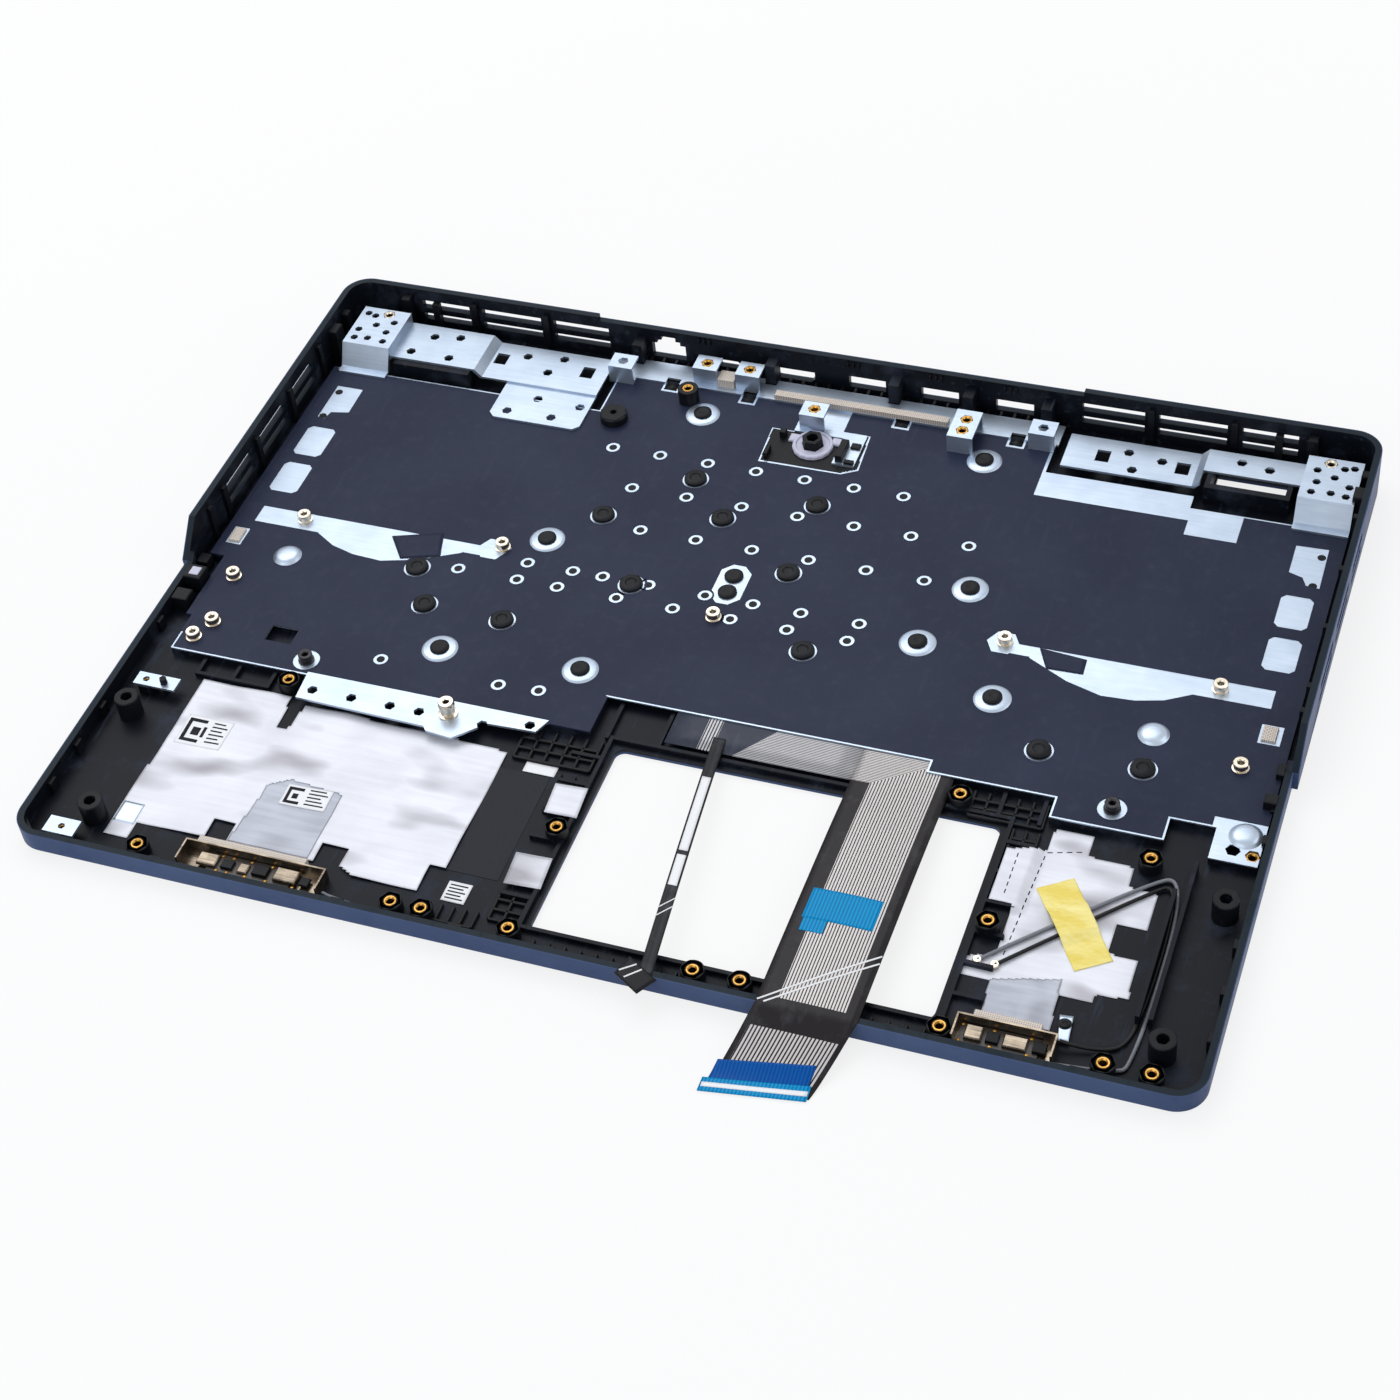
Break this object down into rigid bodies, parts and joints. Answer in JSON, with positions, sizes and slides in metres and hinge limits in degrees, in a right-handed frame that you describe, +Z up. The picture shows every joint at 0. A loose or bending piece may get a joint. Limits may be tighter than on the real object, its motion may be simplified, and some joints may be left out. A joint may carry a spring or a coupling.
{
  "type": "laptop top case with keyboard",
  "caption": "Laptop palm-rest cover lying key side down, its inside open to view: moulded tray, keyboard plate under dark film, hinge and port brackets, foil and flat cables.",
  "frame": {"origin": "middle of the case outline, on the surface that its key side lies on", "axes": "+X along the long side towards the escape key, +Y towards the hinge side, +Z up, into the open inside"},
  "size_m": [0.354, 0.2798, 0.018],
  "materials": {
    "case_plastic": "fine moulded grain",
    "key_plastic": "matte",
    "black_plastic": "matte",
    "white_plastic": "satin",
    "zinc_sheet": "bright zinc",
    "dark_film": "matte film",
    "brass": "turned",
    "nickel": "nickel plate",
    "gunmetal": "dark plate",
    "foil": "embossed",
    "board": "solder mask",
    "woven_gasket": "woven",
    "flat_cable": "printed film",
    "blue_film": "satin",
    "black_tape": "matte",
    "yellow_tape": "crepe",
    "paper": "paper",
    "black_cable": "satin",
    "grey_cable": "satin"
  },
  "bodies": {
    "case": {"backlight_ribbon": "flat_cable", "black_tape": "black_tape", "brass_inserts": "brass", "case_posts": "case_plastic", "corner_clip": "nickel", "dark_standoffs": "gunmetal", "edge_walls": "case_plastic", "foam_gaskets": "woven_gasket", "insulating_film": "dark_film", "key_frame": "case_plastic", "key_sheet": "key_plastic", "keyboard_plate": "zinc_sheet", "keyboard_ribbon": "flat_cable", "labels": "paper", "left_antenna_board": "board", "left_antenna_bracket": "nickel", "left_antenna_cable": "grey_cable", "left_antenna_tail": "foil", "left_ear_tab": "nickel", "left_foil": "foil", "left_hinge_bracket": "zinc_sheet", "left_palm_bracket": "zinc_sheet", "palm_stud": "brass", "port_bracket": "zinc_sheet", "power_bracket": "zinc_sheet", "power_light_ring": "white_plastic", "rear_wall": "case_plastic", "ribbon_patch": "blue_film", "ribbon_stiffener": "blue_film", "right_antenna_board": "board", "right_antenna_bracket": "nickel", "right_antenna_cable": "black_cable", "right_antenna_tail": "foil", "right_foil": "foil", "right_hinge_bracket": "zinc_sheet", "stake_heads": "black_plastic", "steel_standoffs": "nickel", "top_case": "case_plastic", "yellow_tape": "yellow_tape"},
    "backspace_key": {"backspace_key": "key_plastic"},
    "caps_lock_key": {"caps_lock_key": "key_plastic"},
    "delete_key": {"delete_key": "key_plastic"},
    "down_key": {"down_key": "key_plastic"},
    "enter_key": {"enter_key": "key_plastic"},
    "escape_key": {"escape_key": "key_plastic"},
    "left_alt_key": {"left_alt_key": "key_plastic"},
    "left_ctrl_key": {"left_ctrl_key": "key_plastic"},
    "left_key": {"left_key": "key_plastic"},
    "left_shift_key": {"left_shift_key": "key_plastic"},
    "numpad_enter_key": {"numpad_enter_key": "key_plastic"},
    "numpad_plus_key": {"numpad_plus_key": "key_plastic"},
    "numpad_zero_key": {"numpad_zero_key": "key_plastic"},
    "right_alt_key": {"right_alt_key": "key_plastic"},
    "right_ctrl_key": {"right_ctrl_key": "key_plastic"},
    "right_key": {"right_key": "key_plastic"},
    "right_shift_key": {"right_shift_key": "key_plastic"},
    "space_bar": {"space_bar": "key_plastic"},
    "tab_key": {"tab_key": "key_plastic"},
    "up_key": {"up_key": "key_plastic"},
    "power_button": {"power_button": "key_plastic"}
  },
  "joints": [
    {"name": "backspace_key_press", "type": "slide", "parent": "case", "child": "backspace_key", "axis": [0, 0, 1], "range_m": [0, 0.0016], "stiffness_N_per_m": 250},
    {"name": "caps_lock_key_press", "type": "slide", "parent": "case", "child": "caps_lock_key", "axis": [0, 0, 1], "range_m": [0, 0.0016], "stiffness_N_per_m": 250},
    {"name": "delete_key_press", "type": "slide", "parent": "case", "child": "delete_key", "axis": [0, 0, 1], "range_m": [0, 0.0016], "stiffness_N_per_m": 250},
    {"name": "down_key_press", "type": "slide", "parent": "case", "child": "down_key", "axis": [0, 0, 1], "range_m": [0, 0.0016], "stiffness_N_per_m": 250},
    {"name": "enter_key_press", "type": "slide", "parent": "case", "child": "enter_key", "axis": [0, 0, 1], "range_m": [0, 0.0016], "stiffness_N_per_m": 250},
    {"name": "escape_key_press", "type": "slide", "parent": "case", "child": "escape_key", "axis": [0, 0, 1], "range_m": [0, 0.0016], "stiffness_N_per_m": 250},
    {"name": "left_alt_key_press", "type": "slide", "parent": "case", "child": "left_alt_key", "axis": [0, 0, 1], "range_m": [0, 0.0016], "stiffness_N_per_m": 250},
    {"name": "left_ctrl_key_press", "type": "slide", "parent": "case", "child": "left_ctrl_key", "axis": [0, 0, 1], "range_m": [0, 0.0016], "stiffness_N_per_m": 250},
    {"name": "left_key_press", "type": "slide", "parent": "case", "child": "left_key", "axis": [0, 0, 1], "range_m": [0, 0.0016], "stiffness_N_per_m": 250},
    {"name": "left_shift_key_press", "type": "slide", "parent": "case", "child": "left_shift_key", "axis": [0, 0, 1], "range_m": [0, 0.0016], "stiffness_N_per_m": 250},
    {"name": "numpad_enter_key_press", "type": "slide", "parent": "case", "child": "numpad_enter_key", "axis": [0, 0, 1], "range_m": [0, 0.0016], "stiffness_N_per_m": 250},
    {"name": "numpad_plus_key_press", "type": "slide", "parent": "case", "child": "numpad_plus_key", "axis": [0, 0, 1], "range_m": [0, 0.0016], "stiffness_N_per_m": 250},
    {"name": "numpad_zero_key_press", "type": "slide", "parent": "case", "child": "numpad_zero_key", "axis": [0, 0, 1], "range_m": [0, 0.0016], "stiffness_N_per_m": 250},
    {"name": "right_alt_key_press", "type": "slide", "parent": "case", "child": "right_alt_key", "axis": [0, 0, 1], "range_m": [0, 0.0016], "stiffness_N_per_m": 250},
    {"name": "right_ctrl_key_press", "type": "slide", "parent": "case", "child": "right_ctrl_key", "axis": [0, 0, 1], "range_m": [0, 0.0016], "stiffness_N_per_m": 250},
    {"name": "right_key_press", "type": "slide", "parent": "case", "child": "right_key", "axis": [0, 0, 1], "range_m": [0, 0.0016], "stiffness_N_per_m": 250},
    {"name": "right_shift_key_press", "type": "slide", "parent": "case", "child": "right_shift_key", "axis": [0, 0, 1], "range_m": [0, 0.0016], "stiffness_N_per_m": 250},
    {"name": "space_bar_press", "type": "slide", "parent": "case", "child": "space_bar", "axis": [0, 0, 1], "range_m": [0, 0.0016], "stiffness_N_per_m": 250},
    {"name": "tab_key_press", "type": "slide", "parent": "case", "child": "tab_key", "axis": [0, 0, 1], "range_m": [0, 0.0016], "stiffness_N_per_m": 250},
    {"name": "up_key_press", "type": "slide", "parent": "case", "child": "up_key", "axis": [0, 0, 1], "range_m": [0, 0.0016], "stiffness_N_per_m": 250},
    {"name": "power_press", "type": "slide", "parent": "case", "child": "power_button", "axis": [0, 0, 1], "range_m": [0, 0.0005], "stiffness_N_per_m": 900}
  ]
}
